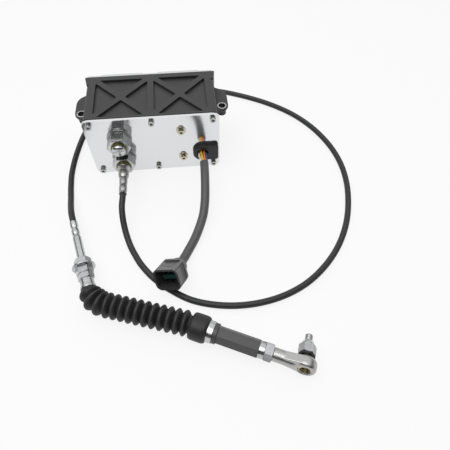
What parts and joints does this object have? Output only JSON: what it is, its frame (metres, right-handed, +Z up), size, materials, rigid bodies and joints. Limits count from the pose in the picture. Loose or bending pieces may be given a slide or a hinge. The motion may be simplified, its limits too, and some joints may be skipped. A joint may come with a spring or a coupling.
{
  "type": "engine governor actuator",
  "caption": "Boxed electric actuator with a bright front plate, side mounting ears, a wire harness with connector, and a sheathed pull cable ending in a bellows boot and ball-stud rod end.",
  "frame": {"origin": "middle of the housing's underside", "axes": "+X to the right across the front plate, +Y from the front plate to the rear cover, +Z up through the ribbed face"},
  "size_m": [0.324, 0.3972, 0.077],
  "materials": {
    "black_casting": "satin black paint on a casting",
    "mirror_plate": "polished sheet metal",
    "pressed_cover": "plain pressed sheet",
    "gasket_rubber": "dull",
    "screw_steel": "plain screws",
    "bright_zinc": "bright zinc",
    "yellow_zinc": "yellow zinc",
    "satin_steel": "satin",
    "black_rubber": "soft sheen",
    "white_lead": "wire insulation",
    "yellow_lead": "wire insulation",
    "orange_lead": "wire insulation",
    "blue_lead": "wire insulation",
    "harness_sleeve": "dull sleeve",
    "cable_jacket": "dull jacket",
    "grey_plastic": "moulded",
    "green_plastic": "moulded",
    "contact_metal": "plated",
    "liner_brass": "plain",
    "black_steel": "black finish",
    "frame_aluminium": "plain",
    "motor_can": "dull grey"
  },
  "bodies": {
    "case": {"housing": "black_casting", "front_plate": "mirror_plate", "front_gasket": "gasket_rubber", "rear_cover": "pressed_cover", "rear_gasket": "gasket_rubber", "plate_screws": "screw_steel", "rear_screws": "screw_steel", "ear_bushes": "bright_zinc", "motor_screws": "screw_steel", "motor_washers": "screw_steel", "port_bodies": "yellow_zinc", "port_nuts": "bright_zinc", "port_washers": "bright_zinc", "port_plug": "bright_zinc", "cable_swivel": "satin_steel", "near_ferrule": "satin_steel", "wire_grommet": "black_rubber", "lead_white": "white_lead", "lead_yellow": "yellow_lead", "lead_orange": "orange_lead", "lead_blue": "blue_lead", "harness_sheath": "harness_sleeve", "connector_shell": "grey_plastic", "connector_wedge": "green_plastic", "connector_pins": "contact_metal", "connector_seal": "gasket_rubber", "control_cable": "cable_jacket", "far_ferrule": "satin_steel", "hub_tube": "satin_steel", "hub_nuts": "bright_zinc", "hub_washer": "bright_zinc", "hub_lock_nut": "bright_zinc", "hub_ring": "satin_steel", "bellows": "black_rubber", "inner_wire_near": "satin_steel", "inner_wire_far": "satin_steel", "gear_frame": "frame_aluminium", "shaft_bushes": "liner_brass", "position_sensor": "green_plastic", "drive_motor": "motor_can", "motor_bracket": "frame_aluminium"},
    "drum": {"output_shaft": "satin_steel", "output_gear": "satin_steel", "cable_drum": "satin_steel", "drum_wire": "satin_steel"},
    "rotor": {"motor_pinion": "satin_steel"},
    "rod": {"boot_collar": "black_rubber", "boot_clamp": "bright_zinc", "hex_sleeve": "black_steel", "notched_ring": "bright_zinc", "lock_nut": "bright_zinc", "rod_end": "satin_steel", "race_liner": "liner_brass", "pull_rod": "satin_steel"},
    "stud": {"ball_stud": "satin_steel", "dust_seal": "black_rubber", "stud_nut": "bright_zinc", "stud_washer": "bright_zinc"}
  },
  "joints": [
    {"name": "drum_turn", "type": "hinge", "parent": "case", "child": "drum", "pos_m": [-0.0365, -0.008, 0.0385], "axis": [1, 0, 0], "range_deg": [-8, 80]},
    {"name": "motor_spin", "type": "hinge", "parent": "case", "child": "rotor", "pos_m": [0, 0.018, 0.0385], "axis": [1, 0, 0], "range_deg": [-180.5, 18.5]},
    {"name": "rod_slide", "type": "slide", "parent": "case", "child": "rod", "axis": [0.9026, -0.4305, 0], "range_m": [-0.0197, 0.0021], "deforming": ["bellows"]},
    {"name": "ball_tilt", "type": "hinge", "parent": "rod", "child": "stud", "pos_m": [0.12079, -0.2837, 0.0126], "axis": [0.0821, 0.1722, 0.9816], "range_deg": [-17, 9]}
  ],
  "couplings": [
    {"joint": "motor_spin", "follows": "drum_turn", "ratio": -2.25},
    {"joint": "rod_slide", "follows": "drum_turn", "m_per_rad": -0.014}
  ]
}
